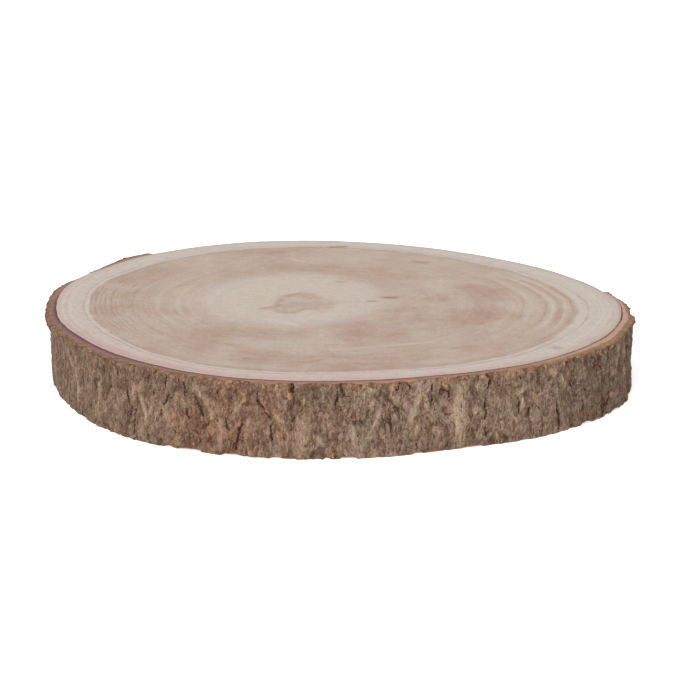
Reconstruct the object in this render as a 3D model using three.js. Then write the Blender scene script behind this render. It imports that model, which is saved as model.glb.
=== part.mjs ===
// A slice sawn straight across a tree trunk, with its bark still on, lying flat.
// Millimetres, +Z up. The origin is the middle of the underside.
import * as THREE from "three";
import { mergeVertices } from "three/addons/utils/BufferGeometryUtils.js";

// Driving dimensions
const THICKNESS = 40;

// The outline at equal angles, from +X towards +Y: how far the wood reaches from the
// middle, how thick the bark is over its ridges at its upper edge, and how much
// thinner it is below that edge
const OUTLINE = [
  [163, 3.5, 0],
  [152, 4, 0],
  [143.5, 3.5, 0],
  [142.5, 3.5, 0],
  [148, 3.5, 0],
  [157, 3.5, 0],
  [163.5, 4.5, 0],
  [166.5, 2.5, 0],
  [163, 7, 3.5],
  [157, 8.5, 2.5],
  [153.5, 8.5, 0],
  [153.5, 4.5, 0],
  [150.5, 4, 0],
  [150, 4, 0],
  [157, 6.5, 0],
  [162.5, 8.5, 0],
];

// How far down from the upper edge the bark takes to reach its thinner wall
const LIP_HEIGHT = 9;

// The saw left the bark's upper edge this far below the face of the wood
const SAWN_DROP = 0.4;

// Round the back, between these angles in degrees, the edge is broken away deeper
const BROKEN_FROM = 8;
const BROKEN_TO = 134;
const BROKEN_FADE = 5;
const BROKEN_DROP = 4;
const BROKEN_UNEVEN = 1.8;
const BROKEN_WAVES = 23;

// Furrows run up the bark, wander a little, and are deeper in some stretches
const FURROWS = 62;
const FURROW_DEPTH = 2.2;
const FURROW_LIMIT = 0.45;
const FURROW_WANDER = 1.4;
const DEEP_STRETCHES = 7;

// How finely the wall is divided: round the slice, and from top to bottom
const STEPS = 300;
const WALL_ROWS = 6;

const TURN = 2 * Math.PI;

function outlineCurve() {
  const stations = OUTLINE.map((station) => new THREE.Vector3(...station));
  return new THREE.CatmullRomCurve3(stations, true, "catmullrom", 0.5);
}

// How far the bark's upper edge lies below the face of the wood
function edgeDrop(angle) {
  const degrees = THREE.MathUtils.radToDeg(angle);
  const start = THREE.MathUtils.smoothstep(degrees, BROKEN_FROM, BROKEN_FROM + BROKEN_FADE);
  const end = THREE.MathUtils.smoothstep(degrees, BROKEN_TO - BROKEN_FADE, BROKEN_TO);
  const uneven = BROKEN_UNEVEN * Math.sin(BROKEN_WAVES * angle);
  return SAWN_DROP + (start - end) * (BROKEN_DROP + uneven);
}

// How far the bark's surface lies inside its ridges
function furrow(angle, height, bark) {
  const wander = FURROW_WANDER * Math.sin(TURN * height / THICKNESS + DEEP_STRETCHES * angle);
  const wave = 0.5 + 0.5 * Math.sin(FURROWS * angle + wander);
  const stretch = 0.7 + 0.3 * Math.sin(DEEP_STRETCHES * angle);
  return Math.min(FURROW_DEPTH, FURROW_LIMIT * bark) * wave * stretch;
}

// Half of the slice's cross-section at one angle, from the middle of the underside
// out to the bark, up its wall, and back over the top
function section(angle, outline) {
  const { x: wood, y: bark, z: thinner } = outline.getPoint(angle / TURN);
  const edge = THICKNESS - edgeDrop(angle);
  const points = [new THREE.Vector2(0, 0)];
  for (let row = 0; row <= WALL_ROWS; row++) {
    const height = edge * row / WALL_ROWS;
    const below = 1 - THREE.MathUtils.smoothstep(height, edge - LIP_HEIGHT, edge);
    const depth = bark - thinner * below;
    points.push(new THREE.Vector2(wood + depth - furrow(angle, height, depth), height));
  }
  points.push(new THREE.Vector2(wood, edge));
  points.push(new THREE.Vector2(wood, THICKNESS));
  points.push(new THREE.Vector2(0, THICKNESS));
  return points;
}

// One section turned about +Z, with every step of the turn then given its own section
function sliceGeometry() {
  const outline = outlineCurve();
  const geometry = new THREE.LatheGeometry(section(0, outline), STEPS);
  const position = geometry.getAttribute("position");
  for (let step = 0, vertex = 0; step <= STEPS; step++) {
    const angle = TURN * (step % STEPS) / STEPS;
    for (const point of section(angle, outline)) {
      position.setXYZ(vertex++, point.x * Math.cos(angle), point.x * Math.sin(angle), point.y);
    }
  }
  geometry.deleteAttribute("normal");
  geometry.deleteAttribute("uv");
  return mergeVertices(geometry);
}

const material = new THREE.MeshStandardMaterial({
  color: 0xb9a08a,
  roughness: 0.85,
  metalness: 0,
});

const slice = new THREE.Mesh(sliceGeometry(), material);
slice.name = "wood_slice";

const part = new THREE.Group();
part.add(slice);

export default part;
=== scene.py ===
import math
from types import SimpleNamespace
import bpy
import numpy as np
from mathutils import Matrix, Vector


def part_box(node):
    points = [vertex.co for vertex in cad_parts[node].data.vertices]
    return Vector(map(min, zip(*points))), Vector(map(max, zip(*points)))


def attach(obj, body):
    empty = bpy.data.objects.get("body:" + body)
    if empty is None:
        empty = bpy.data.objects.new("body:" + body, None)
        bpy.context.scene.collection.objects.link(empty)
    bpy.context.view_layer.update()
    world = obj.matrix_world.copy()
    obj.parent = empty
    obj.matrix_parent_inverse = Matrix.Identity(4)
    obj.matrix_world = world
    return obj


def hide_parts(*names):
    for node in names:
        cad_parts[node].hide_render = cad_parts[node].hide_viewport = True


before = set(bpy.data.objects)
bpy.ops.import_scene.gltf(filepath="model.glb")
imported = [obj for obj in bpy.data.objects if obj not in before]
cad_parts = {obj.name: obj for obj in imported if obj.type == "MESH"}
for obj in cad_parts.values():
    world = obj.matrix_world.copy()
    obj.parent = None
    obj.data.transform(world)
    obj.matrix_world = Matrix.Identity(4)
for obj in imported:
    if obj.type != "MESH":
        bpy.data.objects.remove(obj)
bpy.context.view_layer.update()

# Sizes are in millimetres, and a mesh is scaled to metres when it is made
MM = 0.001
TURN = 2 * math.pi
NODE = "wood_slice"
BODY = "root"
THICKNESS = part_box(NODE)[1].z / MM

# The outline at equal angles, from +X towards +Y: how far the wood reaches from the
# middle, how thick the bark is over its ridges at its upper edge, and how much
# thinner it is below that edge
OUTLINE = np.array([
    [163, 3.5, 0], [152, 4, 0], [143.5, 3.5, 0], [142.5, 3.5, 0], [148, 3.5, 0], [157, 3.5, 0],
    [163.5, 4.5, 0], [166.5, 2.5, 0], [163, 7, 3.5], [157, 8.5, 2.5], [153.5, 8.5, 0],
    [153.5, 4.5, 0], [150.5, 4, 0], [150, 4, 0], [157, 6.5, 0], [162.5, 8.5, 0],
])
LIP_HEIGHT = 9

# The trunk widened downwards on one side: there the upper face is smaller than the lower
# one. The angle in degrees, the reach either side of it, and how much smaller
TAPER = (270, 42, 4.5)

# A shallow hollow in the wood, which the bark fills: the same three numbers
HOLLOW = (151, 6, 1.6)

# The photograph's camera, in its frame of 700 by 700 pixels
FRAME_PX = 700
FOCAL_PX = 1882
SENSOR = 36
CLIP_END = 50
PITCH = math.radians(17.15)
DISTANCE = 1137.5
AIM = np.array([7.5, 35.4, 0])
# Where along a ray the wall is looked for: from, to, and in how many steps
WALL_SOUGHT = (DISTANCE - 250, DISTANCE + 100, 3000)

# Places in the photograph, in pixels of that frame. The heart's outline:
HEART_PX = [
    (280, 296), (291, 294.2), (301, 292.6), (312, 292.9), (319, 295.5), (325, 298), (332, 299.3),
    (337, 302.5), (332, 309), (324, 312.7), (318, 312), (311, 310.2), (306, 309.5), (301, 311.4),
    (294, 313.3), (286, 313.3), (278, 312.7), (272, 309.5), (267, 307.6), (274, 306.3),
    (276, 302.5), (278, 298),
]
# Strokes on the face: x and y of the start and of the end, half-width in millimetres, strength
FLECKS_PX = [
    (385, 297.2, 395, 297.4, 2.6, 1), (386, 296.8, 391, 296.6, 1.6, 0.6), (369, 301, 375, 301, 1.8, 0.8),
    (338, 301.6, 369, 301.2, 0.9, 0.2), (418, 262, 427, 262.4, 2.4, 0.8), (413, 261, 420, 262, 1.6, 0.4),
    (331, 246.9, 345, 246.6, 2.3, 1), (291, 247.3, 331, 247, 1.5, 0.4), (337, 281.4, 343, 282.2, 2, 0.45),
    (556, 347.3, 558, 347.8, 2.6, 0.55), (246, 358.1, 249, 358.3, 1.8, 0.6),
    (302, 362.1, 311, 362.4, 1.6, 0.45), (196, 363.5, 262, 369.5, 0.9, 0.45),
    (326, 345, 338, 344.6, 1.6, 0.3), (478, 335, 500, 331.5, 1, 0.3), (224, 343, 233, 345, 1.3, 0.35),
]
STREAKS_PX = [
    (231, 301.6, 276, 302.2, 2.4, 0.35), (338, 301.6, 352, 301.6, 2, 0.3),
    (264, 308.6, 276, 306.5, 3.5, 1), (228, 298.6, 262, 299, 2.6, 0.3),
]
SCRATCHES_PX = [
    (330, 350, 433, 342, 0.8, 0.8), (283, 322, 296, 325, 2, 0.9), (294, 259.5, 303, 261.6, 1.6, 0.7),
    (270, 319, 283, 322, 1.6, 0.5), (305, 318, 330, 319, 2, 0.45),
]
# What shows on the bark, each as its width in millimetres and then the x and y of each
# place it runs through: narrow cracks, broader furrows, pale ridges, and bits of bark
# broken to their rusty inside
CRACKS_PX = [
    (0.8, 91, 359, 92, 366), (0.8, 94, 378, 97, 381), (0.7, 101, 418, 102.5, 422),
    (1, 108, 417, 108, 419.5), (0.8, 124, 368, 128, 377), (1, 127, 383, 127, 395, 129.5, 404, 131.5, 409),
    (1, 137.5, 405, 135, 412, 136, 427, 138, 437), (1, 147, 370, 148, 375, 146.5, 380, 149.5, 387),
    (0.9, 152.5, 390, 152.5, 395), (0.7, 165, 377, 164.5, 388), (1.3, 168.5, 395, 165, 401, 164, 405),
    (1, 161, 408, 161, 416), (1, 183.5, 377, 183.5, 388, 184, 399), (1.2, 186, 408, 186.5, 416, 189, 419),
    (1.2, 192, 394, 196, 401, 200, 411, 201.5, 417), (1, 216.5, 390, 216.5, 399),
    (1.2, 226, 417, 226, 425, 229, 431), (1.5, 242, 424, 239, 430, 237.5, 440, 235, 449.5),
    (1.1, 257.5, 387, 256.5, 396, 258, 403, 262, 407, 266, 414, 271, 419.5),
    (1, 270.5, 425, 271, 433, 272.5, 446), (1.5, 292, 384, 292.5, 396), (0.8, 290.5, 401, 291, 411),
    (0.8, 294, 416, 292, 424, 291.5, 431), (1, 339, 391, 336, 403, 334.5, 411),
    (0.9, 341, 390, 345, 397, 350, 397.5), (1.1, 400, 383, 399, 389, 393, 392.5),
    (1, 407, 383, 410, 387, 407.5, 393), (0.8, 391.5, 409, 394, 407.5, 397, 408, 400, 411),
    (1.3, 390, 414, 390, 422, 392, 431), (1, 432.5, 384, 432.5, 392), (0.8, 432.5, 398, 431, 408),
    (1.4, 441, 389.5, 447, 391, 450, 394, 450, 399, 451, 403), (1.2, 435.5, 409, 435.5, 411),
    (0.8, 417, 442, 417, 452), (1.4, 487, 375, 490.5, 379, 489.5, 385, 487, 389),
    (0.9, 485, 398, 486.5, 412, 485, 420), (1.2, 486, 426, 487.5, 437), (1, 520.5, 376, 522, 382),
    (1, 519, 398, 519.5, 415), (1.1, 530, 407, 530.5, 417),
    (1.5, 558, 402, 557.5, 410, 559.5, 416, 559.5, 429), (1.2, 567.5, 362, 567.5, 366),
    (1, 570, 380, 573.5, 389), (0.9, 576.5, 393, 577, 397), (1, 584, 388, 587, 391),
    (1, 603, 345, 606, 346), (1.1, 609, 350, 607.5, 361), (1.1, 610, 389, 607.5, 398, 605.5, 406),
    (0.9, 614, 394, 614, 397), (0.9, 625, 385, 626, 391),
]
FURROWS_PX = [
    (2, 52, 350, 54, 362), (2.2, 60, 371, 60.5, 376), (1.6, 81, 381, 82.5, 395), (1.8, 96, 387, 98, 400),
    (2.4, 103, 369, 108, 379), (3, 231, 390, 233, 397, 227, 405), (1.8, 220, 401, 222, 403),
    (2, 260, 420, 263, 425), (2, 283, 436, 285, 440), (3, 321, 409, 320, 420, 317, 434),
    (3, 328, 389, 327, 399), (2.2, 372, 395, 381, 398), (2.2, 388, 391, 388, 410),
    (2, 373, 411, 370, 416), (2.6, 426, 418, 429, 419), (2.6, 443, 415, 449, 415),
    (2, 451, 421, 451.5, 446), (2.4, 506, 383, 511, 386), (2.4, 572, 358, 580, 361),
    (2, 596, 361, 596, 369), (2.2, 611, 345, 613, 350), (2.2, 604, 398, 606, 404),
]
RIDGES_PX = [
    (1, 67, 348, 68.5, 356, 71.5, 366), (1.1, 74.5, 369, 78, 382, 79.5, 395, 80, 406),
    (1.1, 98, 370, 102, 378, 100, 387, 99, 397, 99.5, 405), (1.6, 134.5, 385, 134, 400),
    (1.4, 142, 381, 138.5, 389, 142, 399, 146, 413, 146.5, 422, 142.5, 438), (1.1, 154, 400, 150, 413),
    (1.2, 112, 418, 113, 426), (1.8, 197, 386, 200, 394, 206, 401, 214, 418, 219, 427, 222, 449),
    (1, 213, 401, 218, 415, 228, 437), (1.6, 248, 420, 248, 430, 246, 438, 250, 455),
    (1.2, 240, 422, 230, 433), (1.3, 244, 399, 240, 405, 231, 415), (1.5, 278, 416, 281, 422, 289, 437),
    (4.5, 302, 422, 303, 448), (1.4, 304, 396, 303.5, 405), (1.2, 329, 421, 330, 427),
    (1.4, 318, 437, 323, 445), (0.9, 364.5, 392, 365, 398), (1.2, 374, 401, 370, 407),
    (1.1, 381, 405, 380.5, 412, 377, 419, 371, 431), (1.4, 354, 427, 353, 439),
    (2, 420.5, 383, 419, 398, 412, 416, 411, 429), (1.4, 429, 383, 426, 395), (1.6, 417, 424, 416, 434),
    (4, 459, 386, 460, 440), (0.9, 477, 405, 475, 414), (1.6, 527, 386, 518, 394),
    (2, 521, 396, 523, 406), (1.2, 494, 413, 496, 419), (1.2, 498, 434, 499, 442),
    (4, 550, 369, 556, 374), (2.2, 561, 375, 565, 385), (1, 539, 394, 539, 407),
]
RUST_PX = [
    (1.2, 182.5, 380, 183, 382), (1.2, 163.5, 406, 164, 410), (1.6, 223, 383, 233, 384),
    (1.4, 244, 392, 243, 395), (2, 289, 386, 290, 398), (1.6, 276, 385, 276, 389),
    (1.3, 288.5, 408, 291, 408), (2.2, 265, 403, 272, 416), (1.8, 210, 414, 213, 434),
    (1.2, 220, 408, 220.5, 410), (1.5, 391, 387, 393, 391), (1, 406.5, 388, 407, 389),
    (1.3, 380.5, 428, 381, 429), (1.2, 384, 436, 384, 437), (1.2, 434, 426, 434, 428),
    (1.5, 443, 384, 446, 387), (1.6, 481, 375, 484, 377), (1.5, 492, 374, 495, 376),
    (1.4, 532, 366, 534, 370), (1.8, 560, 361, 567, 364), (1.2, 511, 419, 512, 423),
    (1.2, 517, 433, 519, 434), (1.2, 555.5, 416, 556, 424), (1.1, 609.5, 391, 609, 396),
    (1.2, 613.5, 366, 614, 368), (1, 626, 378, 626, 383), (1.3, 328.5, 428, 330, 429),
]


def smoothstep(low, high, value):
    t = np.clip((value - low) / (high - low), 0, 1)
    return t * t * (3 - 2 * t)


def around(column, turn):
    """One column of the outline at any part of a turn, on a smooth closed curve."""
    values = OUTLINE[:, column]
    place = np.mod(turn, 1) * len(values)
    index = np.floor(place).astype(int)
    f = place - index
    a, b, c, d = (values[(index + k) % len(values)] for k in (-1, 0, 1, 2))
    return b + 0.5 * f * (c - a + f * (2 * a - 5 * b + 4 * c - d + f * (3 * (b - c) + d - a)))


def near_angle(turn, middle, reach):
    """1 at one angle in degrees, falling to 0 either side of it."""
    away = np.mod(turn - middle / 360 + 0.5, 1) - 0.5
    return np.exp(-(away / (reach / 360)) ** 2)


def trunk(turn, height):
    """The edge of the wood at any part of a turn and any height."""
    *taper, smaller = TAPER
    *hollow, deep = HOLLOW
    wood = around(0, turn) - deep * near_angle(turn, *hollow)
    return wood - smaller * near_angle(turn, *taper) * height / THICKNESS


NOISE_ROWS = 64
NOISE_GAIN = 1.6


def smooth_noise(u, v, cells, seed):
    """Smooth noise of about -1 to 1 with features one unit wide, closed in u after some cells."""
    slope = np.random.default_rng(seed).random((cells, NOISE_ROWS)) * TURN
    iu, iv = np.floor(u).astype(int), np.floor(v).astype(int)
    fu, fv = u - iu, v - iv

    def corner(du, dv):
        a = slope[(iu + du) % cells, (iv + dv) % NOISE_ROWS]
        return np.cos(a) * (fu - du) + np.sin(a) * (fv - dv)

    wu, wv = (f * f * f * (f * (f * 6 - 15) + 10) for f in (fu, fv))
    low = corner(0, 0) * (1 - wu) + corner(1, 0) * wu
    high = corner(0, 1) * (1 - wu) + corner(1, 1) * wu
    return NOISE_GAIN * (low * (1 - wv) + high * wv)


def cell_noise(u, v, cells, seed):
    """Scattered cells one unit wide: how far inside its cell a point is, and the cell's own number."""
    points = np.random.default_rng(seed).random((cells, NOISE_ROWS, 3))
    u, v = np.broadcast_arrays(u, v)
    iu, iv = np.floor(u).astype(int), np.floor(v).astype(int)
    nearest = second = np.full(u.shape, np.inf)
    number = np.zeros(u.shape)
    for du in (-1, 0, 1):
        for dv in (-1, 0, 1):
            point = points[(iu + du) % cells, (iv + dv) % NOISE_ROWS]
            gap = np.hypot(iu + du + point[..., 0] - u, iv + dv + point[..., 1] - v)
            nearer = gap < nearest
            second = np.where(nearer, nearest, np.minimum(second, gap))
            number = np.where(nearer, point[..., 2], number)
            nearest = np.minimum(nearest, gap)
    return second - nearest, number


# The unrolled bark is measured in millimetres along a round length of about its girth
GIRTH = 1000


def bark_noise(turn, height, wide, tall, seed):
    cells = round(GIRTH / wide)
    return smooth_noise(turn * cells, height / tall, cells, seed)


def round_noise(turn, wide, seed):
    """Noise that changes only round the slice."""
    return bark_noise(turn, 0.5, wide, 1, seed)


def view_ray(px, py):
    """The camera's place, and the direction in which it sees a pixel."""
    right = np.array([1, 0, 0])
    up = np.array([0, math.sin(PITCH), math.cos(PITCH)])
    back = np.array([0, -math.cos(PITCH), math.sin(PITCH)])
    half = FRAME_PX / 2
    ray = (right * (px - half) - up * (py - half)) / FOCAL_PX - back
    return AIM + DISTANCE * back, ray


def on_face(px, py):
    """Where a pixel lies on the slice's upper face."""
    eye, ray = view_ray(px, py)
    return tuple((eye + ray * (THICKNESS - eye[2]) / ray[2])[:2])


def on_wall(px, py):
    """Where a pixel lies on the bark, in millimetres on the unrolled bark."""
    eye, ray = view_ray(px, py)
    reach = np.linspace(*WALL_SOUGHT)
    points = eye + reach[:, None] * ray
    turn = np.arctan2(points[:, 1], points[:, 0]) / TURN
    bark = trunk(turn, points[:, 2]) + around(1, turn) - around(2, turn)
    hit = np.argmax(np.hypot(points[:, 0], points[:, 1]) < bark)
    return np.mod(turn[hit], 1) * GIRTH, points[hit, 2]


def near_path(x, y, path):
    """Distance of each point from a path of straight stretches."""
    best = np.full(np.broadcast(x, y).shape, 1e9)
    for (x0, y0), (x1, y1) in zip(path, path[1:]):
        dx, dy = x1 - x0, y1 - y0
        t = np.clip(((x - x0) * dx + (y - y0) * dy) / (dx * dx + dy * dy), 0, 1)
        best = np.minimum(best, np.hypot(x - x0 - t * dx, y - y0 - t * dy))
    return best


def inside(x, y, outline):
    """True for each point inside a closed outline."""
    found = np.zeros(np.shape(x), bool)
    for (x0, y0), (x1, y1) in zip(outline, outline[1:] + outline[:1]):
        crosses = (y0 > y) != (y1 > y)
        found ^= crosses & (x < x0 + (y - y0) * (x1 - x0) / (y1 - y0 + 1e-12))
    return found


# Meshes. Each is a grid of points in rows that go round the slice, and the rows
# follow its cross-section outwards below, up the side and inwards above.
def grid_faces(rows, columns, closed):
    faces = []
    for row in range(rows if closed else rows - 1):
        here, there = row * columns, (row + 1) % rows * columns
        for k in range(columns):
            after = (k + 1) % columns
            faces.append((here + k, here + after, there + after, there + k))
    return faces


def strip_uv(columns, strips, bands, margin=0.01):
    """A bake map in strips, each a share of the way round, for bands of faces of given v."""
    per_strip = columns // strips
    k = np.arange(columns)
    strip = k // per_strip
    left = margin + (1 - 2 * margin) * (k % per_strip) / per_strip
    right = left + (1 - 2 * margin) / per_strip
    uv = np.zeros((len(bands), columns, 4, 2))
    uv[..., 0] = np.stack([left, right, right, left], axis=-1)
    for row, (low, high) in enumerate(bands):
        v = margin + (1 - 2 * margin) * np.array([low, low, high, high])
        uv[row, ..., 1] = (strip[:, None] + v) / strips
    return uv


def link(item):
    """Puts an object in the scene."""
    bpy.context.scene.collection.objects.link(item)
    return item


def make_object(name, vertices, faces, attributes, uv):
    """A smooth mesh object from millimetres, with attributes on its points and a bake map."""
    mesh = bpy.data.meshes.new(name)
    mesh.from_pydata((vertices * MM).tolist(), [], faces)
    for key, values in attributes.items():
        kind, field = ("FLOAT", "value") if values.ndim == 1 else ("FLOAT_VECTOR", "vector")
        layer = mesh.attributes.new(key, kind, "POINT")
        layer.data.foreach_set(field, values.astype(np.float32).ravel())
    layer = mesh.uv_layers.new(name="OFBake")
    layer.uv.foreach_set("vector", uv.astype(np.float32).ravel())
    mesh.polygons.foreach_set("use_smooth", np.ones(len(mesh.polygons), bool))
    mesh.update()
    return link(bpy.data.objects.new(name, mesh))


# The wood: its rows of points follow the growth rings
WOOD_COLUMNS = 480
TOP_RINGS = 112
UNDER_RINGS = 60
PITH = np.array([-22.0, 3.0])
EDGE_ROUND = 0.35
RING_WOBBLE = 0.010


def wood_rim(turn, height):
    """The edge of the wood, with the slight unevenness of a grown trunk."""
    return trunk(turn, height) + 0.5 * round_noise(turn, 26, 11) + 0.2 * round_noise(turn, 9, 12)


def ring_place(ring, turn, height):
    """Points on growth rings, which are round at the pith and take the rim's shape outwards."""
    rim = wood_rim(turn, height)
    shape = rim.mean() + (rim - rim.mean()) * ring ** 1.2
    wobble = bark_noise(turn, 9 * ring, 70, 1, 13) + 0.6 * bark_noise(turn, 25 * ring, 33, 1, 14)
    radius = ring * shape * (1 + RING_WOBBLE * wobble * np.sin(math.pi * ring))
    x = PITH[0] * (1 - ring) + radius * np.cos(TURN * turn)
    y = PITH[1] * (1 - ring) + radius * np.sin(TURN * turn)
    return x, y


def strokes(x, y, places):
    total = np.zeros(np.shape(x))
    for x0, y0, x1, y1, half_width, strength in places:
        gap = near_path(x, y, [on_face(x0, y0), on_face(x1, y1)])
        total = np.maximum(total, strength * np.exp(-(gap / half_width) ** 2))
    return total


# Stains on the face: x, y, reach along x, reach along y, strength, which is below 0
# where the wood is paler
STAINS = [
    (81, -27, 17, 15, 1), (60, -38, 14, 8, 0.5), (65, 66, 12, 12, 0.7), (60, 14, 9, 14, 0.55),
    (88, 17, 6, 14, 0.5), (-102, 66, 14, 15, 0.6), (-70, 66, 12, 10, 0.4), (-42, 120, 16, 8, 0.55),
    (-133, -12, 8, 10, 0.6), (-143, 20, 5, 18, 0.5), (-35, -108, 34, 12, 0.7), (-40, -62, 24, 9, 0.4),
    (20, -66, 20, 8, 0.45), (70, -88, 14, 8, 0.4), (-16, 97, 16, 12, -0.8), (13, 100, 10, 9, -0.6),
    (73, 0, 3.5, 26, -0.8), (102, 2, 5, 28, -0.6), (64, -60, 14, 9, -0.5), (-14, -82, 18, 5, -0.4),
    (-95, -8, 6, 30, -0.4),
]
CORE = (-27, 7.5, 56)


def face_marks(x, y):
    """What marks the sawn face, each from 0 to 1, and the stains from -1 to 1."""
    outline = [on_face(*p) for p in HEART_PX]
    gap = near_path(x, y, outline + outline[:1])
    gap = np.where(inside(x, y, outline), -gap, gap)
    west = smoothstep(0, -32, x)
    rim = (0.35 + 0.65 * west) * np.exp(-((gap + 1.6) / 3.2) ** 2)
    stain = sum(k * np.exp(-((x - u) / a) ** 2 - ((y - v) / b) ** 2) for u, v, a, b, k in STAINS)
    return {
        "heart": 1 - smoothstep(-3.5, 2.5, gap),
        "ochre": np.maximum(rim, strokes(x, y, STREAKS_PX)),
        "fleck": strokes(x, y, FLECKS_PX),
        "scratch": strokes(x, y, SCRATCHES_PX),
        "core": (CORE[2] - np.hypot(x - CORE[0], y - CORE[1])) / CORE[2],
        "stain": stain,
    }


# The bake map holds the upper face's disc, the underside's disc and four strips of the
# side: the middle and the width of each disc, and the corner and the size of the strips
WIDEST = 334
TOP_DISC_UV = (0.375, 0.375, 0.73)
UNDER_DISC_UV = (0.772, 0.772, 0.44)
SIDE_STRIPS = 4
SIDE_UV = (0.78, 0.005, 0.215, 0.14)
SIDE_SEEN = 12
SIDE_ROWS = 5
FLECK_DEPTH = 0.2


def make_wood():
    inset = 1 - EDGE_ROUND / WIDEST
    rows = [(r, 0) for r in np.linspace(0, 1, UNDER_RINGS + 1)[1:-1]]
    rows += [(inset, 0), (1, EDGE_ROUND)]
    under_rows = len(rows) - 1
    rows += [(1, z) for z in np.linspace(THICKNESS - SIDE_SEEN, THICKNESS - EDGE_ROUND, SIDE_ROWS)]
    top_row = len(rows) - 1
    rows += [(inset, THICKNESS)]
    rows += [(r, THICKNESS) for r in np.linspace(1, 0, TOP_RINGS + 1)[1:-1]]
    turn = np.tile(np.arange(WOOD_COLUMNS) / WOOD_COLUMNS, len(rows))
    ring = np.repeat([float(r) for r, _ in rows], WOOD_COLUMNS)
    height = np.repeat([float(z) for _, z in rows], WOOD_COLUMNS)
    x, y = ring_place(ring, turn, height)
    under_pith, top_pith = len(x), len(x) + 1
    x, y = np.append(x, [PITH[0]] * 2), np.append(y, [PITH[1]] * 2)
    height, ring = np.append(height, [0, THICKNESS]), np.append(ring, [0, 0])
    upper = (height > THICKNESS / 2).astype(float)
    marks = face_marks(x, y)
    attributes = {key: value * upper for key, value in marks.items() if key != "core"}
    attributes["core"] = marks["core"]
    attributes["upper"] = upper
    attributes["ring"] = ring
    ray = np.column_stack([np.cos(TURN * turn), np.sin(TURN * turn), 0 * turn])
    attributes["ray"] = np.vstack([ray, np.zeros((2, 3))])
    height = height - FLECK_DEPTH * attributes["fleck"] * (height > THICKNESS - EDGE_ROUND / 2)
    faces = grid_faces(len(rows), WOOD_COLUMNS, closed=False)
    for k in range(WOOD_COLUMNS):
        after = (k + 1) % WOOD_COLUMNS
        inmost = (len(rows) - 1) * WOOD_COLUMNS
        faces.append((under_pith, after, k))
        faces.append((top_pith, inmost + k, inmost + after))
    vertices = np.column_stack([x, y, height])
    uv = wood_uv(vertices, faces, under_rows, top_row)
    return make_object("wood", vertices, faces, attributes, uv)


def disc_uv(place, vertices, loops):
    u, v, wide = place
    return np.array([u, v]) + vertices[loops, :2] * wide / WIDEST


def wood_uv(vertices, faces, under_rows, top_row):
    fans = 2 * WOOD_COLUMNS
    quads = np.array(faces[:-fans])
    fans = np.array(faces[-fans:])
    uv = disc_uv(TOP_DISC_UV, vertices, quads)
    band = np.arange(len(quads)) // WOOD_COLUMNS
    under = band < under_rows
    uv[under] = disc_uv(UNDER_DISC_UV, vertices, quads[under])
    side = (band >= under_rows) & (band < top_row)
    edges = [0.0, *np.linspace(0.1, 0.95, top_row - under_rows)]
    strips = strip_uv(WOOD_COLUMNS, SIDE_STRIPS, list(zip(edges, edges[1:]))).reshape(-1, 4, 2)
    uv[side] = np.array(SIDE_UV[:2]) + strips * np.array(SIDE_UV[2:])
    fan_uv = np.zeros((len(fans), 3, 2))
    fan_uv[0::2] = disc_uv(UNDER_DISC_UV, vertices, fans[0::2])
    fan_uv[1::2] = disc_uv(TOP_DISC_UV, vertices, fans[1::2])
    return np.vstack([uv.reshape(-1, 2), fan_uv.reshape(-1, 2)])


# The bark: a ring of fine mesh, with its furrows, cracks and chips. Its strips are those of
# its bake map, in which no row of faces counts as taller than this
BARK_COLUMNS = 1560
BARK_STRIPS = 4
TALLEST_STRIP = 2
WALL_ROWS = 51
CUT_ROWS = 3
BEVEL = 0.2

# The layer is 0 to 1 across the bark's sawn edge, and this on its wall
OUTSIDE = 2

# How far down the gap between the wood and the bark its rows of points lie. The lowest is
# below the gap's bottom, where the bark runs into the wood by the overlap
GAP_DEPTHS = (1.2, 2.8, 3.4)
GAP_BOTTOM = 3
OVERLAP = 0.2

# How far the bark's upper edge lies below the wood's face: where it is sawn, and where it
# is broken away, which is deeper by this on average, and by this at least
SAWN_DROP = 0.4
BROKEN_DROP = 4
BROKEN_LEAST = 1.6

# Between which parts of a turn the edge is broken away, and over how much it fades out
BROKEN_FROM = 8.5 / 360
BROKEN_TO = 135.8 / 360
BROKEN_FADE = 3.5 / 360
TIP_FADE = 0.7 / 360

# Over which parts of a turn the sagging edge of the front begins and ends
FRONT_BEGINS = (172 / 360, 194 / 360)
FRONT_ENDS = (8 / 360, 2 / 360)

# Where the bark stands off the wood, where it does so only in spots, and where few
# chips are out of its upper edge: the angle in degrees, and the reach either side of it
LOOSE = (195, 10)
SPOTTED = (215, 9)
FEW_CHIPS = (195, 32)

# Where the bark is thicker or thinner than the outline says: the angle in degrees, the
# reach either side of it, the change, and how far the change reaches below the upper
# edge, or above the lower one
WHOLE_WALL = 60
EDGE_CHANGES = [
    (*HOLLOW, WHOLE_WALL), (141, 8, 3.8, 4), (158.5, 4, -2.2, 4), (169, 6, 0.8, 4),
    (184, 8, -1.4, 6), (351, 7, 2.2, 4), (1, 5, 1.4, 4), (338, 20, 0.4, WHOLE_WALL),
]
FOOT_CHANGES = [(207, 11, 1.2, 26), (236, 22, 2.6, 18), (295, 13, -2.2, 18), (336, 15, 1.7, 36)]

# How far the highest ridges rise above the outline, the least that the bark keeps, and how
# its depths are scaled by its thickness, as a share of its usual one
CREST_RISE = 0.9
THINNEST = 0.8
USUAL_BARK = 4.2
DEPTH_SCALES = (0.7, 1.2)

# The rough cells in the bark
CELL_WIDE = 3.6
CELL_TALL = 7.5

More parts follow.
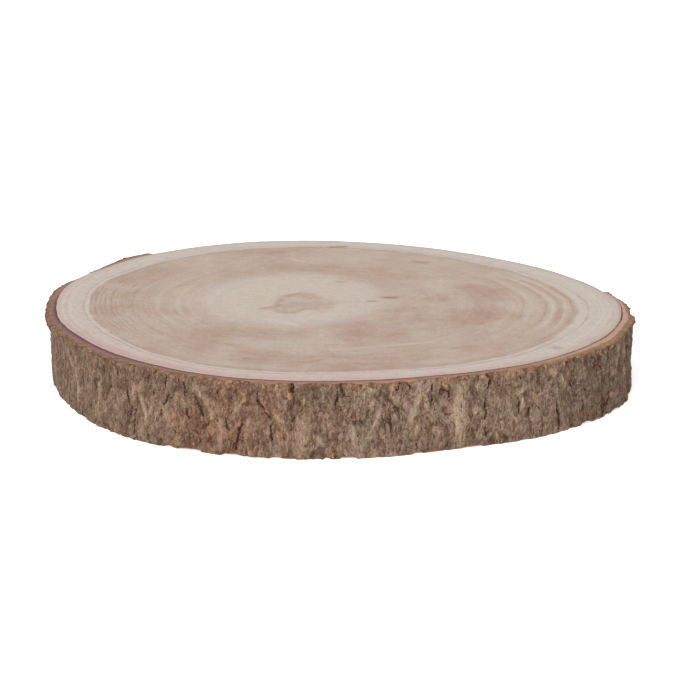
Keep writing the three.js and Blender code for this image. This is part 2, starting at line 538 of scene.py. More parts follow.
# Marks in the bark besides those of the photograph: small cracks all round, and what
# shows on the far side, each as how many, how tall, how wide, and the seed they are drawn from
ALL_ROUND = (0, GIRTH)
FAR_SIDE = (-0.09 * GIRTH, 0.5 * GIRTH)
SMALL_CRACKS = (170, (2, 5), (1.0, 1.0), 61)
FAR_CRACKS = (76, (7, 19), (0.8, 1.5), 62)
FAR_FURROWS = (36, (3, 13), (1.6, 3.2), 63)
FAR_RIDGES = (52, (8, 28), (1.0, 2.8), 64)
FAR_RUST = (36, (1, 9), (1.0, 2.0), 65)

# A drawn mark's path has this many stretches, and each leans by this share of its height
MARK_STRETCHES = 3
MARK_LEAN = 0.13

# The furthest that a distance from a mark is told, in widths of the mark, and how far
# beside a mark its distance is looked for
FAR = 4.0
BESIDE = 12


def broken(turn):
    """1 where the bark's upper edge has broken away, round the back, and 0 elsewhere."""
    start = smoothstep(BROKEN_FROM, BROKEN_FROM + BROKEN_FADE, turn)
    return start * (1 - smoothstep(BROKEN_TO - TIP_FADE, BROKEN_TO, turn))


def bark_edge(turn):
    """The height of the bark's upper edge."""
    ragged = 1.5 * round_noise(turn, 23, 21) + 1.0 * round_noise(turn, 7, 22)
    ragged += 0.4 * round_noise(turn, 2.5, 23)
    drop = np.maximum(BROKEN_DROP + ragged, BROKEN_LEAST)
    return THICKNESS - SAWN_DROP - broken(turn) * drop


def bark_foot(turn):
    """The height of the bark's lower edge, which has small chips."""
    chips = smoothstep(0.15, 0.5, round_noise(turn, 9, 26))
    small = smoothstep(0.1, 0.5, round_noise(turn, 4, 27))
    return 1.2 * chips + 0.35 * small


def lip_drop(turn):
    """How far the outer side of the bark's upper edge sags below its inner side."""
    chips = smoothstep(-0.1, 0.6, round_noise(turn, 7, 28))
    front = smoothstep(*FRONT_BEGINS, turn) + smoothstep(*FRONT_ENDS, turn)
    return (1.1 * chips + 0.35 * round_noise(turn, 2.4, 29) + 0.2) * front


def gap_width(turn, depth):
    """How far the bark stands off the wood, at some depth below its edge."""
    spots = near_angle(turn, *SPOTTED) * smoothstep(0.1, 0.4, round_noise(turn, 6, 25))
    loose = near_angle(turn, *LOOSE) * np.clip(0.7 + 0.8 * round_noise(turn, 10, 24), 0, 1)
    width = 0.03 + 0.5 * np.maximum(loose, spots)
    return width if depth < GAP_BOTTOM else np.full(turn.shape, -OVERLAP)


def scattered(count, talls, widths, seed, stretch=FAR_SIDE):
    """Marks that run up the bark, along one stretch of it."""
    draw = np.random.default_rng(seed)
    paths = []
    for _ in range(count):
        u, v = draw.uniform(*stretch), draw.uniform(-2, THICKNESS - 5)
        tall = draw.uniform(*talls)
        path = [(u, v)]
        for _ in range(MARK_STRETCHES):
            u += draw.normal(0, MARK_LEAN * tall)
            v += tall / MARK_STRETCHES
            path.append((u, v))
        paths.append((draw.uniform(*widths), path))
    return paths


def on_bark(places):
    """Widths and places in the photograph as widths and places on the unrolled bark."""
    return [
        (width, [on_wall(px, py) for px, py in zip(path[::2], path[1::2])])
        for width, *path in places
    ]


def near_any(u, height, paths, taper):
    """Distance from the nearest path in its own widths, with some added towards its two ends."""
    best = np.full(height.shape, FAR)
    for width, path in paths:
        middle = np.mean(path, axis=0)
        half = np.hypot(*np.subtract(path[-1], path[0])) / 2
        x = (u - middle[0] + GIRTH / 2) % GIRTH - GIRTH / 2
        close = np.abs(x).min(axis=0) < BESIDE + half + 3 * width
        x, y = x[:, close], height[:, close]
        shifted = [(a - middle[0], b) for a, b in path]
        gap = near_path(x, y, shifted) / width + taper * (np.hypot(x, y - middle[1]) / half) ** 2
        best[:, close] = np.minimum(best[:, close], gap)
    return best


def bark_marks(turn, height):
    """Distance from the cracks in their own widths, and ridges, furrows and rust from 0 to 1."""
    wiggle = 0.55 * bark_noise(turn, height, 2.6, 2.8, 45)
    u = turn * GIRTH + wiggle
    gap = near_any(u, height, on_bark(CRACKS_PX) + scattered(*FAR_CRACKS), 0.2)
    gap = np.minimum(gap, 0.25 + near_any(u, height, scattered(*SMALL_CRACKS, ALL_ROUND), 0.4))
    pale = near_any(u, height, on_bark(RIDGES_PX) + scattered(*FAR_RIDGES), 0.4)
    hollow = near_any(u + wiggle, height, on_bark(FURROWS_PX) + scattered(*FAR_FURROWS), 0.4)
    rust = near_any(u + wiggle, height, on_bark(RUST_PX) + scattered(*FAR_RUST), 0.2)
    return gap, *(np.exp(-away ** 2) for away in (pale, hollow, rust))


def bark_chips(turn, below, above):
    """How far the bark is chipped, some way below its upper edge and some way above its foot."""
    chips = smoothstep(0.05, 0.5, round_noise(turn, 17, 46)) * (1 - 0.8 * near_angle(turn, *FEW_CHIPS))
    tall = 1.1 + 3.2 * chips + (0.6 + chips) * round_noise(turn, 4.5, 47)
    foot_tall = 1.2 + 1.0 * round_noise(turn, 7, 48)
    return 1 - smoothstep(0.35 * tall, tall, below), 1 - smoothstep(0.3 * foot_tall, foot_tall, above)


def bark_looks(turn, height, edge):
    """How far the bark's surface lies inside its ridges, and what shows on it."""
    bend = 2.4 * bark_noise(turn, height, 26, 20, 32) + 1.1 * bark_noise(turn, height, 8, 9, 33)
    lean = 0.35 * round_noise(turn, 75, 31) * (height - THICKNESS / 2)
    t = turn + (bend + lean) / GIRTH
    plate = 0.5 + 0.5 * np.tanh(1.7 * bark_noise(t, height, 12, 30, 34))
    split = np.abs(bark_noise(t, height, 13, 30, 35))
    furrow = np.exp(-(split / 0.10) ** 2) * smoothstep(-0.35, 0.2, bark_noise(turn, height, 30, 17, 36))
    wander = turn + (0.5 * bend + 0.8 * bark_noise(turn, height, 4, 5, 37)) / GIRTH
    cells = round(GIRTH / CELL_WIDE)
    inner, number = cell_noise(wander * cells, height / CELL_TALL + lean / 20, cells, 38)
    fibre = bark_noise(t, height, 1.9, 8, 40) + 0.7 * bark_noise(t, height, 3.1, 17, 41)
    crumb = bark_noise(wander, height, 2.2, 2.4, 42)
    lump = bark_noise(wander, height, 6, 7, 49)
    pit = smoothstep(0.35, 0.7, bark_noise(wander, height, 3.2, 5.5, 43))
    gap, pale, hollow, rust = bark_marks(turn, height)
    chip, foot = bark_chips(turn, edge - height + 1.3 * crumb + 0.9 * lump, height - bark_foot(turn))
    # The pale ridges are smoother than the rest
    calm = 1 - 0.8 * pale
    depth = 0.6 * (1 - plate) * calm + 0.5 * furrow * calm
    depth += (0.22 * number + 0.16 * (1 - smoothstep(0.0, 0.16, inner))) * calm
    depth += 0.12 * (1 - fibre * (1 - chip)) + 0.28 * (1 - crumb) * calm + 0.30 * (1 - lump) * calm
    depth += 0.4 * pit * calm + 0.8 * hollow + 1.1 * np.exp(-(gap / 0.45) ** 2)
    depth += 0.4 * chip + 0.45 * foot + 0.4 * chip * np.abs(crumb)
    # The relief also sets the bark's colour: lower-lying bark is painted darker, partly painted shade in
    # its hollows and partly its own colour
    relief = 0.30 * (plate - 0.5) - 0.16 * (number - 0.5) - 0.34 * furrow - 0.22 * pit
    relief = relief * calm + 0.10 * fibre + 0.20 * crumb * calm + 0.16 * lump * calm
    relief += 0.57 - 0.30 * hollow
    return depth, {
        "relief": np.clip(relief, 0, 1),
        "gap": np.clip(gap, 0, FAR),
        "pale": pale,
        "rust": rust,
        "fresh": np.clip(np.maximum(chip, 0.7 * foot), 0, 1),
    }


def bark_reach(turn, height, edge):
    """How far the bark's surface is from the wood, and what shows on it."""
    crest, thinner = around(1, turn), around(2, turn)
    share = smoothstep(edge - LIP_HEIGHT, edge, height)
    for middle, reach, change, tall in EDGE_CHANGES:
        share_here = smoothstep(edge - tall, edge, height) if tall < WHOLE_WALL else 1
        crest = crest + change * share_here * near_angle(turn, middle, reach)
    for middle, reach, change, tall in FOOT_CHANGES:
        crest = crest + change * smoothstep(tall, 0, height) * near_angle(turn, middle, reach)
    depth, looks = bark_looks(turn, height, edge)
    scale = np.clip((crest - thinner) / USUAL_BARK, *DEPTH_SCALES)
    return np.maximum(crest + CREST_RISE - thinner * (1 - share) - depth * scale, THINNEST), looks


def make_bark():
    turn = np.arange(BARK_COLUMNS) / BARK_COLUMNS
    edge, foot = bark_edge(turn), bark_foot(turn)
    low_rim, high_rim = wood_rim(turn, 0), wood_rim(turn, THICKNESS)
    lip = edge - np.maximum(lip_drop(turn), 0)
    climb = np.linspace(0, 1, WALL_ROWS + 1)[:, None]
    wall_height = foot + BEVEL + (lip - foot - 2 * BEVEL) * climb
    reach, looks = bark_reach(turn, wall_height, lip)
    wall = wood_rim(turn, wall_height) + reach
    # One row of points each: how far out, how high, how far across, and the wall row it looks like
    points = []
    inner = low_rim + gap_width(turn, THICKNESS)
    for q in np.linspace(0, 1, CUT_ROWS + 1):
        points.append((inner + (wall[0] - BEVEL - inner) * q, foot * q ** 3, q, 0))
    for k in range(WALL_ROWS + 1):
        points.append((wall[k], wall_height[k], OUTSIDE, k))
    inner = high_rim + gap_width(turn, 0)
    grain = 0.6 * round_noise(turn, 2.6, 51) + round_noise(turn, 6, 52)
    for q in np.linspace(1, 0, CUT_ROWS + 1):
        rough = (0.1 + 0.6 * broken(turn)) * grain * q - 0.2 * q ** 3
        height = edge + (lip - edge) * q * q + rough
        points.append((inner + (wall[-1] - BEVEL - inner) * q, height, q, WALL_ROWS))
    for depth in GAP_DEPTHS:
        points.append((high_rim + gap_width(turn, depth), edge - depth, 0, WALL_ROWS))
    rows = len(points)
    radius, height, across, shown = zip(*points)
    r, z = np.array(radius), np.array(height)
    attributes = {key: values[list(shown)].ravel() for key, values in looks.items()}
    attributes["layer"] = np.repeat(np.array(across, float), BARK_COLUMNS)
    attributes["broken"] = np.tile(broken(turn), rows)
    x, y = r * np.cos(TURN * turn), r * np.sin(TURN * turn)
    vertices = np.column_stack([x.ravel(), y.ravel(), z.ravel()])
    step = np.hypot(np.roll(r, -1, 0) - r, np.roll(z, -1, 0) - z).mean(axis=1)
    climb = np.concatenate([[0], np.cumsum(np.minimum(step, TALLEST_STRIP))])
    climb /= climb[-1]
    uv = strip_uv(BARK_COLUMNS, BARK_STRIPS, list(zip(climb, climb[1:]))).reshape(-1, 2)
    return make_object("bark", vertices, grid_faces(rows, BARK_COLUMNS, closed=True), attributes, uv)


def tone(colour, light):
    """A surface's own colour, from how it looks in the photograph under the photograph's light."""
    levels = (colour >> shift & 255 for shift in (16, 8, 0))
    return (*(((level / 255 + 0.055) / 1.055) ** 2.4 / light for level in levels), 1)


class Surface:
    """A material and the nodes that make its colour, roughness and bump."""

    def __init__(self, name, light):
        self.material = bpy.data.materials.new(name)
        self.material.use_nodes = True
        self.tree = self.material.node_tree
        self.light = light
        self.place = self.add("ShaderNodeTexCoord")["Object"]

    def feed(self, node, inputs):
        """Gives a node's inputs their values, each a constant or another node's socket."""
        for key, value in inputs.items():
            if isinstance(value, bpy.types.NodeSocket):
                self.tree.links.new(value, node.inputs[key])
            else:
                node.inputs[key].default_value = value

    def add(self, kind, inputs=None, **settings):
        """The outputs of a new node."""
        node = self.tree.nodes.new(kind)
        for key, value in settings.items():
            setattr(node, key, value)
        self.feed(node, inputs or {})
        return node.outputs

    def attribute(self, name, output="Fac"):
        return self.add("ShaderNodeAttribute", attribute_name=name)[output]

    def calc(self, operation, a, b=0.0):
        return self.add("ShaderNodeMath", {0: a, 1: b}, operation=operation)[0]

    def product(self, first, *others):
        for other in others:
            first = self.calc("MULTIPLY", first, other)
        return first

    def total(self, *terms):
        """The sum of terms, each a socket, a number, or a tuple of them to be multiplied."""
        result = None
        for term in terms:
            value = self.product(*term) if isinstance(term, tuple) else term
            result = value if result is None else self.calc("ADD", result, value)
        return result

    def vectors(self, operation, *values):
        return self.add("ShaderNodeVectorMath", dict(enumerate(values)), operation=operation)[0]

    def stretched(self, vector, factors):
        return self.vectors("MULTIPLY", vector, factors)

    def parts(self, vector):
        return self.add("ShaderNodeSeparateXYZ", {0: vector})

    def raw_noise(self, place, scale, detail, rough=0.5, warp=0.0):
        inputs = {"Vector": place, "Scale": scale, "Detail": detail, "Roughness": rough, "Distortion": warp}
        return self.add("ShaderNodeTexNoise", inputs)

    def noise(self, scale, detail=3, rough=0.5, place=None, warp=0.0):
        """Noise of about -1 to 1, with one scale or one for each axis."""
        place = place or self.place
        if isinstance(scale, tuple):
            place, scale = self.stretched(place, scale), 1.0
        return self.total((self.raw_noise(place, scale, detail, rough, warp)["Fac"], 4.0), -2.0)

    def line_noise(self, place, scale, detail):
        """Noise of about -1 to 1 along one value."""
        inputs = {"W": place, "Scale": scale, "Detail": detail}
        noise = self.add("ShaderNodeTexNoise", inputs, noise_dimensions="1D")["Fac"]
        return self.total((noise, 4.0), -2.0)

    def ring_noise(self, ray, ring, scales, detail, rough=0.5):
        """Noise that follows the rings, with a scale round them and a scale across them."""
        along, across = scales
        outward = self.add("ShaderNodeCombineXYZ", {"Z": self.product(ring, across)})[0]
        place = self.vectors("MULTIPLY_ADD", ray, (along, along, 0), outward)
        return self.noise(1.0, detail, rough, place)

    def warped(self, scale, amount):
        """The place on the object, pushed about by noise, in metres."""
        push = self.raw_noise(self.place, scale, 2)["Color"]
        return self.vectors("MULTIPLY_ADD", push, (amount,) * 3, self.place)

    def cells(self, vector):
        """A number from 0 to 1 for each of many scattered cells."""
        return self.parts(self.add("ShaderNodeTexVoronoi", {"Vector": vector, "Scale": 1.0})["Color"])["X"]

    def crackle(self, vector, width):
        """1 along the lines between many scattered cells."""
        inputs = {"Vector": vector, "Scale": 1.0}
        gap = self.add("ShaderNodeTexVoronoi", inputs, feature="DISTANCE_TO_EDGE")["Distance"]
        return self.between(gap, width, 0.0)

    def thread(self, noise, width):
        """1 along the lines where a noise passes through zero."""
        return self.between(self.calc("ABSOLUTE", noise), width, width * 0.3)

    def between(self, value, low, high):
        """0 at the low value, 1 at the high one, and smooth between."""
        inputs = {"Value": value, "From Min": low, "From Max": high}
        return self.add("ShaderNodeMapRange", inputs, interpolation_type="SMOOTHSTEP")["Result"]

    def colour(self, value):
        """A socket as it is, or a colour of the photograph as the surface's own."""
        return tone(value, self.light) if isinstance(value, int) else value

    def ramp(self, value, stops):
        result = self.add("ShaderNodeValToRGB", {"Fac": value})["Color"]
        elements = result.node.color_ramp.elements
        while len(elements) < len(stops):
            elements.new(1.0)
        for element, (position, shade) in zip(elements, stops):
            element.position = position
            element.color = self.colour(shade) if isinstance(shade, int) else (shade,) * 3 + (1,)
        return result

    def bands(self, value, places):
        """Narrow bands along a value: the middle, half-width and strength of each."""
        stops = [(0.0, 0.0)]
        for middle, half_width, strength in places:
            stops += [(middle - half_width, 0.0), (middle, strength), (middle + half_width, 0.0)]
        return self.ramp(value, stops)

    def painted(self, colour, *coats):
        """A colour with coats over it: each a colour, and the factors it is laid on by."""
        for coat, *factors in coats:
            inputs = {0: self.product(*factors), 6: self.colour(colour), 7: self.colour(coat)}
            colour = self.add("ShaderNodeMix", inputs, data_type="RGBA")[2]
        return colour

    def brightened(self, colour, *amounts):
        """A colour times one plus some amounts."""
        inputs = {0: colour, "Scale": self.total(*amounts, 1.0)}
        return self.add("ShaderNodeVectorMath", inputs, operation="SCALE")[0]

    def tinted(self, colour, scales, amounts):
        """A colour with its red, green and blue each a little uneven in its own way."""
        noise = self.raw_noise(self.stretched(self.place, scales), 1.0, 3, 0.65)["Color"]
        uneven = self.vectors("MULTIPLY_ADD", noise, amounts, tuple(1 - 0.5 * k for k in amounts))
        return self.vectors("MULTIPLY", colour, uneven)

    def finish(self, colour, roughness, height, distance):
        bump = self.add("ShaderNodeBump", {"Distance": distance, "Height": height})["Normal"]
        self.feed(self.tree.nodes["Principled BSDF"], {
            "Base Color": colour, "Roughness": roughness, "Normal": bump, "Specular IOR Level": SHINE,
        })
        return self.material


# How much brighter than its own colour each surface looks under the studio's light
FACE_LIGHT = 1.1
WALL_LIGHT = 0.85

# How much each surface shines, and how high the finest relief of each is, in metres
SHINE = 0.2
WOOD_BUMP = 0.00012
BARK_BUMP = 0.0006

# Rings and lines that stand out in the wood: the middle, half-width and strength of each,
# as shares of the way from the pith to the rim
EDGE_LINES = [(0.856, 0.006, 0.5), (0.871, 0.006, 0.9), (0.895, 0.0055, 0.7)]
CREAM_BAND = [(0.883, 0.010, 0.7)]
OUTER_LINE = [(0.9745, 0.0045, 0.8)]
LEFT_LINE = [(0.962, 0.005, 0.6)]
PALE_RIGHT = [(0.733, 0.020, 0.5), (0.798, 0.012, 0.8), (0.838, 0.010, 0.7), (0.881, 0.014, 0.6)]
DARK_RIGHT = [
    (0.655, 0.004, 0.3), (0.690, 0.005, 0.4), (0.715, 0.005, 0.5), (0.777, 0.0055, 1.0),
    (0.818, 0.006, 0.8), (0.828, 0.004, 0.5), (0.858, 0.006, 1.0), (0.868, 0.004, 0.5),
    (0.904, 0.005, 0.8),
]
PALE_LEFT = [(0.475, 0.02, 0.4), (0.52, 0.014, 0.6), (0.60, 0.012, 0.5)]
DARK_LEFT = [
    (0.560, 0.005, 0.4), (0.640, 0.005, 0.5), (0.704, 0.006, 0.7), (0.742, 0.004, 0.7),
    (0.768, 0.004, 0.8), (0.789, 0.006, 0.9), (0.812, 0.006, 1.0), (0.830, 0.005, 0.8),
    (0.850, 0.005, 0.8),
]


def wood_guides(s):
    """What the wood's looks follow: its rings, the way out from the pith, and noise."""
    w = SimpleNamespace(drift=s.noise(26), grit=s.noise(240, 4, 0.65), upper=s.attribute("upper"))
    w.ring = s.total(s.attribute("ring"), (w.drift, 0.0040), (s.noise(85, 2), 0.0036), (w.grit, 0.0014))
    ray = s.attribute("ray", "Vector")
    w.x, w.y, _ = s.parts(ray)
    w.east = s.between(w.x, 0.82, 0.98)
    w.west = s.between(w.x, -0.62, -0.95)
    w.wisp = s.ring_noise(ray, w.ring, (7, 55), 4, 0.6)
    w.strand = s.ring_noise(ray, w.ring, (20, 170), 3, 0.6)
    w.short = s.ring_noise(ray, w.ring, (26, 75), 3, 0.6)
    w.rays = s.ring_noise(ray, w.ring, (62, 9), 2)
    w.patchy = s.between(s.ring_noise(ray, w.ring, (9, 30), 3), -0.7, 0.5)
    w.patch = s.noise(22, 4, 0.55, warp=0.6)
    w.fine_patch = s.noise(75, 4, 0.6)
    w.zone = s.total(w.ring, (s.between(w.y, -0.35, -0.95), -0.034))
    w.sap = s.between(s.total(w.zone, (w.wisp, 0.004)), 0.860, 0.886)
    w.sideways = s.total((s.calc("ABSOLUTE", w.x), 0.7), 0.3)
    w.fine = s.product(s.line_noise(w.ring, 85, 2), w.sideways, w.ring)
    w.saw = s.noise((560, 22, 0), 3, 0.6)
    w.chatter = s.noise((40, 420, 0), 2)
    w.pores = s.noise(1300, 2, 0.6)
    w.fleck = s.attribute("fleck")
    w.stain = s.attribute("stain")
    w.under = s.calc("SUBTRACT", 1.0, w.upper)
    return w


def wood_zones(s, w):
    """The wood's colour from the heart outwards."""
    mottle = s.total(w.patch, (w.fine_patch, 0.5), (w.wisp, 0.5), (w.strand, 0.3), w.stain)
    core = s.total(s.attribute("core"), (w.drift, 0.06), (w.wisp, 0.07), (w.fine_patch, 0.04))
    pinkness = s.total((w.x, -0.35), (w.y, -0.65), (w.patch, 0.35), (w.wisp, 0.25))
    front_rim = s.product(s.between(w.ring, 0.93, 1.0), s.between(w.y, -0.2, -0.6))
    rosy = s.total((s.between(w.x, -0.2, -0.5), 0.9), (w.patchy, 0.4))
    sapwood = s.painted(
        0xC7BCB2,
        (0xCAB7AE, s.between(pinkness, -0.3, 1.0)),
        (0xC09D97, front_rim, rosy, 0.65),
    )
    speckle = s.between(s.total(w.grit, w.fine_patch), -0.7, 1.1)
    heart = s.painted(0xC2B2A6, (0xB29884, speckle))
    return s.painted(
        0xC2B2A3,
        (0xB09383, s.between(mottle, -1.2, 1.7)),
        (0xC9BCB0, s.between(core, -0.20, 0.22), 0.85),
        (0xCABCA8, s.between(core, 0.15, 0.4), s.between(w.fine_patch, -0.8, 0.8), 0.4),
        (sapwood, w.sap),
        (heart, s.attribute("heart"), 0.9),
    )


def wood_rings(s, w, colour):
    """A colour with its rings: fine ones all over, and those that stand out."""
    broad = s.line_noise(s.total(w.ring, 3.7), 30, 1)
    rim_tan = s.between(s.total(w.ring, (w.wisp, 0.003)), 0.972, 0.995)
    not_east = s.total((w.east, -1.0), 1.0)
    return s.painted(
        s.brightened(colour, (w.fine, 0.035), (broad, 0.022)),
        (0xCEC2B4, s.bands(w.zone, CREAM_BAND), s.between(w.x, 0.45, -0.35)),
        (0xA48678, s.bands(w.zone, EDGE_LINES), s.total((w.patchy, 0.8), 0.2), not_east),
        (0xBAA191, rim_tan, 0.5),
        (0xB69C84, s.bands(w.ring, OUTER_LINE), s.between(w.x, -0.1, 0.8), w.patchy),
        (0xB69C90, s.bands(w.ring, LEFT_LINE), s.between(w.x, 0.2, -0.6), w.patchy),
        (0xCCC0B5, w.east, s.bands(w.ring, PALE_RIGHT)),
        (0xAB9180, w.east, s.total((w.patchy, 0.75), 0.25), s.bands(w.ring, DARK_RIGHT)),
        (0xA48777, w.west, s.total((w.patchy, 0.9), 0.1), s.bands(w.ring, DARK_LEFT)),
        (0xC9BCB0, w.west, s.bands(w.ring, PALE_LEFT)),
    )


def wood_grain(s, w, colour):
    """A colour with its short dashes, its rays, the saw's marks and its pores."""
    dash = s.between(s.total(w.wisp, (w.strand, 0.5), (w.stain, 0.3)), 0.55, 1.2)
    dash = s.calc("MAXIMUM", dash, s.product(s.between(w.short, 0.45, 1.0), 0.8))
    colour = s.painted(colour, (0xA88977, dash, s.total((w.sap, -0.8), 1.0), 0.55))
    weave = s.noise((620, 330, 0), 3, 0.7)
    near = s.total((s.between(w.y, 0.7, 0.0), 0.75), 0.25)
    colour = s.brightened(
        colour, (w.rays, w.sideways, 0.025), (w.saw, 0.013), (w.chatter, 0.012), (w.pores, 0.045),
        (weave, near, 0.06), (w.grit, 0.065), (w.strand, 0.045), (w.wisp, 0.03),
    )
    return s.tinted(colour, (330, 330, 330), (0.26, 0.19, 0.32))


def wood_marks(s, w, colour):
    """A colour with the marks of the upper face, and the dirt of the underside."""
    ochre = s.between(s.total(s.attribute("ochre"), (w.grit, 0.25), (w.fine_patch, 0.25)), 0.25, 1.1)
    return s.painted(
        colour,
        (0xAE8D73, ochre, 0.6),
        (0x94725E, w.fleck, 0.8),
        (0xD6CBC2, s.attribute("scratch"), 0.6),
        (0xA08A78, w.under, s.between(s.noise(9, 4, 0.6), -0.8, 1.6), 0.3),
    )


def wood_material():
    s = Surface("sawn_wood", FACE_LIGHT)
    w = wood_guides(s)
    colour = wood_marks(s, w, wood_grain(s, w, wood_rings(s, w, wood_zones(s, w))))
    height = s.total(
        (w.saw, 0.3), (w.chatter, 0.2), (w.fine, w.upper, 0.25), (w.pores, 0.12), (w.fleck, -1.2),
        (w.under, s.noise((12, 190, 0), 2), 0.6),
    )
    roughness = s.total((w.grit, 0.03), (w.patch, 0.02), 0.72)
    return s.finish(colour, roughness, height, WOOD_BUMP)


# Colours along a value from 0 to 1: the bark's weathered outside, and its raw inside
WEATHERED = [
    (0.0, 0x32241C), (0.20, 0x4C382C), (0.40, 0x6C5545), (0.58, 0x86705E),
    (0.78, 0x9E8672), (1.0, 0xB49A85),
]
RAW = [(0.0, 0x36221A), (0.35, 0x6E4D3A), (0.65, 0x9A7358), (1.0, 0xCCA482)]
CRUMBS = [(0.2, 0x483228), (0.5, 0x84644F), (0.8, 0xBA8E6C)]

# Colours across the bark's sawn edge, from the wood side outwards
LEFT_CUT = [
    (0.0, 0x745755), (0.10, 0x82625F), (0.20, 0x866663), (0.55, 0x8E6F67),
    (1.0, 0x82685C),
]
# On the right the sawn edge starts very dark at the wood side: painted shade of the thin gap between the
# bark and the wood
RIGHT_CUT = [
    (0.0, 0x46302A), (0.06, 0x78584A), (0.11, 0xBC9A86), (0.50, 0xBE9D87),
    (0.57, 0x826657), (0.65, 0xAA8268), (0.88, 0xA47A5D), (1.0, 0x74523C),
]
FRONT_CUT = [
    (0.0, 0x72504B), (0.18, 0x866159), (0.45, 0x926C61), (0.62, 0xAA8675),
    (0.85, 0xA8806A), (1.0, 0x7E5C48),
]

# What the bark's red, green and blue are multiplied by where it is redder or greyer, and at its right end,
# away from the sun, where painted shade makes it darker
REDDER = (0.94, 0.74, 0.66)
RIGHT_END_SHADE = (0.72, 0.72, 0.70)
GREYER = (1.10, 1.21, 1.27)


def bark_guides(s):
    """What the bark's looks follow: its layers, the slice's sides, and noise."""
    b = SimpleNamespace(layer=s.attribute("layer"), relief=s.attribute("relief"), bent=s.warped(70, 0.006))
    b.x, b.y, _ = s.parts(s.place)
    b.west = s.between(b.x, -0.02, -0.09)
    b.east = s.between(b.x, 0.06, 0.15)
    b.grey_side = s.between(b.x, -0.03, 0.03)
    b.patch = s.noise(42, 3, 0.55, warp=0.4)
    b.streak = s.noise((440, 440, 85), 4, 0.6, b.bent)
    b.fibre = s.noise((1200, 1200, 240), 3, 0.6, b.bent)
    b.flakes = s.cells(s.stretched(b.bent, (600, 600, 250)))
    b.grain = s.noise(1150, 3, 0.7)
    b.fleck = s.noise(330, 3, 0.6)
    b.raw = s.ramp(s.total((b.flakes, 0.5), (b.grain, 0.20), (b.streak, 0.12), 0.25), RAW)
    return b


def bark_weathered(s, b):
    """The colour of the bark's whole outside."""
    crackle = s.crackle(s.stretched(b.bent, (330, 330, 170)), 0.13)
    # The relief term paints the bark darker where it lies low: partly painted shade in its furrows and
    # pits, partly its own colour
    value = s.total(
        (b.relief, 0.36), (b.streak, 0.13), (b.fibre, 0.14), (b.flakes, 0.15), (b.grain, 0.17),
        (b.fleck, 0.09), (b.patch, 0.05), (crackle, s.between(b.streak, -0.5, 0.6), -0.22),
        (s.attribute("pale"), 0.25), 0.205,
    )
    wall = s.ramp(value, WEATHERED)
    middle = s.product(s.between(b.x, -0.13, -0.07), s.between(b.x, 0.01, -0.04))
    red = s.between(s.total(b.patch, (b.streak, 0.4), (middle, 0.8)), 0.1, 1.2)
    wall = s.painted(wall, (s.stretched(wall, REDDER), red, 0.7))
    # The bark's right end is painted darker: painted shade where the sun's light falls off
    wall = s.painted(wall, (s.stretched(wall, RIGHT_END_SHADE), s.between(b.x, 0.105, 0.155)))
    grey = s.total(s.noise(14, 2), (b.fleck, 0.4), (b.streak, -0.3), (b.grey_side, 0.8))
    grey = s.product(s.between(grey, 0.2, 1.2), s.between(b.relief, 0.2, 0.6), 0.5)
    return s.painted(wall, (s.stretched(wall, GREYER), grey))


def bark_breaks(s, b, wall):
    """A colour with its breaks, rust, hairlines and cracks, the cracks and hairlines darkened with painted
    shade, and how much that darkens it.
    """
    rusty = s.between(s.total(b.fleck, (b.grain, 0.5), (b.flakes, 0.5)), 0.85, 1.25)
    crumbled = s.total(s.attribute("fresh"), (b.grain, 0.12), (b.fleck, 0.16), (b.flakes, 0.3), -0.15)
    fresh = s.product(s.between(crumbled, 0.30, 0.62), s.total((b.west, -0.3), (b.grey_side, -0.27), 0.80))
    wall = s.painted(wall, (b.raw, s.calc("MAXIMUM", fresh, s.product(rusty, 0.6))))
    wall = s.tinted(wall, (800, 800, 620), (0.72, 0.45, 0.88))
    wall = s.tinted(wall, (170, 170, 80), (0.30, 0.14, 0.32))
    # Brightness by place round the bark; the darkening at the right end adds to its painted shade
    wall = s.brightened(wall, (b.west, -0.04), (b.grey_side, 0.03), (b.east, -0.03), 0.01)
    gap = s.attribute("gap")
    torn = s.between(s.total(gap, (b.fleck, 0.6), (b.flakes, 1.2)), 1.6, 1.0)
    rust = s.between(s.total(s.attribute("rust"), (b.fleck, 0.25), (b.grain, 0.2)), 0.35, 0.7)
    bare = s.calc("MAXIMUM", s.product(torn, 0.55), s.product(rust, 0.8))
    hairline = s.product(s.thread(b.streak, 0.10), s.between(s.total(b.fleck, b.patch), 0.2, 0.7))
    split = s.between(s.total(gap, (b.grain, 0.34), (b.fibre, 0.32), (b.fleck, 0.16)), 0.64, 0.15)
    # The cracks and hairlines are painted near black: painted shade inside them, over the carved cracks
    crack_shade = s.calc("MAXIMUM", s.product(split, 0.92), s.product(hairline, 0.75))
    return s.painted(wall, (s.brightened(b.raw, 0.12), bare), (0x32251F, crack_shade)), crack_shade


def bark_cut(s, b):
    """The colour of the bark's sawn edge."""
    wave = s.total(b.layer, (b.fleck, 0.03), (b.patch, 0.05))
    crumbs = s.ramp(s.total((b.fleck, 0.26), (b.grain, 0.22), 0.5), CRUMBS)
    crumbly = s.between(s.total(b.layer, (b.fleck, 0.34), (b.grain, 0.20)), 0.45, 0.65)
    cut = s.painted(
        s.ramp(wave, FRONT_CUT),
        (s.ramp(wave, LEFT_CUT), b.west),
        (s.ramp(wave, RIGHT_CUT), b.east),
        (0xA28174, s.between(b.y, -0.005, 0.03), b.west, 0.75),
        (crumbs, crumbly, s.total((b.west, 0.70), (b.east, 0.4), 0.2)),
        (b.raw, s.attribute("broken"), s.between(b.layer, 0.1, 0.4)),
    )
    return s.tinted(s.brightened(cut, (b.grain, 0.08), (b.fleck, 0.10)), (400, 400, 400), (0.4, 0.25, 0.5))


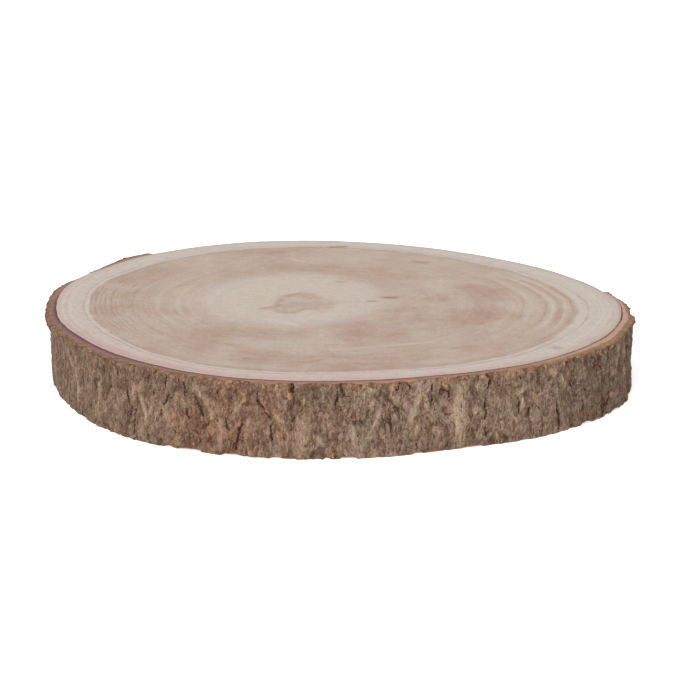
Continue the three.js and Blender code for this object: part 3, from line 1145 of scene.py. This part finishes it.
def bark_material():
    s = Surface("bark", WALL_LIGHT)
    b = bark_guides(s)
    wall, crack_shade = bark_breaks(s, b, bark_weathered(s, b))
    # The sawn edge lies level, as the wood's face does
    s.light = FACE_LIGHT
    outside = s.between(b.layer, 1.05, 1.4)
    colour = s.painted(bark_cut(s, b), (wall, outside))
    bumps = s.total(
        (b.streak, 0.55), (b.fibre, 0.35), (b.grain, 0.40), (b.fleck, 0.4), (b.flakes, 0.5), (crack_shade, -1.0),
    )
    height = s.product(bumps, s.total((outside, 0.85), 0.15))
    return s.finish(colour, s.total((b.grain, 0.03), 0.88), height, BARK_BUMP)


def make_camera():
    camera = link(bpy.data.objects.new("camera", bpy.data.cameras.new("camera")))
    camera.data.sensor_width = SENSOR
    camera.data.lens = FOCAL_PX * SENSOR / FRAME_PX
    camera.data.clip_end = CLIP_END
    eye, _ = view_ray(0, 0)
    camera.location = Vector(eye) * MM
    camera.rotation_euler = (math.pi / 2 - PITCH, 0, 0)
    bpy.context.scene.camera = camera


# The studio: a white floor that glows a little, in metres, a white world that is brighter
# to the camera than it lights, and one soft sun
FLOOR_HALF = 8
FLOOR_LOOKS = {
    "Base Color": (0.85, 0.85, 0.85, 1),
    "Roughness": 1,
    "Specular IOR Level": 0,
    "Emission Color": (1, 1, 1, 1),
    "Emission Strength": 0.6,
}
SKY_LIGHT = 0.6
SKY_SEEN = 1.1
KEY_STRENGTH = 2.2
KEY_FROM = (-0.6, -1.0, 1.2)
KEY_ANGLE = 25


def make_floor():
    corners = [(x * FLOOR_HALF, y * FLOOR_HALF, 0) for x, y in ((-1, -1), (1, -1), (1, 1), (-1, 1))]
    mesh = bpy.data.meshes.new("floor")
    mesh.from_pydata(corners, [], [(0, 1, 2, 3)])
    material = bpy.data.materials.new("studio_floor")
    material.use_nodes = True
    shader = material.node_tree.nodes["Principled BSDF"]
    for name, value in FLOOR_LOOKS.items():
        shader.inputs[name].default_value = value
    mesh.materials.append(material)
    link(bpy.data.objects.new("floor", mesh))


def make_light():
    world = bpy.data.worlds.new("studio")
    world.use_nodes = True
    nodes, links = world.node_tree.nodes, world.node_tree.links
    background = nodes["Background"]
    background.inputs["Color"].default_value = (1, 1, 1, 1)
    seen = nodes.new("ShaderNodeLightPath").outputs["Is Camera Ray"]
    strength = nodes.new("ShaderNodeMapRange")
    strength.inputs["To Min"].default_value = SKY_LIGHT
    strength.inputs["To Max"].default_value = SKY_SEEN
    links.new(seen, strength.inputs["Value"])
    links.new(strength.outputs["Result"], background.inputs["Strength"])
    bpy.context.scene.world = world
    key = bpy.data.lights.new("key", "SUN")
    key.energy = KEY_STRENGTH
    key.angle = math.radians(KEY_ANGLE)
    lamp = link(bpy.data.objects.new("key", key))
    lamp.rotation_euler = Vector(KEY_FROM).to_track_quat("Z", "Y").to_euler()
    bpy.context.scene.view_settings.view_transform = "Standard"


def place_piece(piece, material):
    piece.data.materials.append(material)
    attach(piece, BODY)
    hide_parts(NODE)


make_camera()
make_floor()
make_light()
place_piece(make_wood(), wood_material())
place_piece(make_bark(), bark_material())
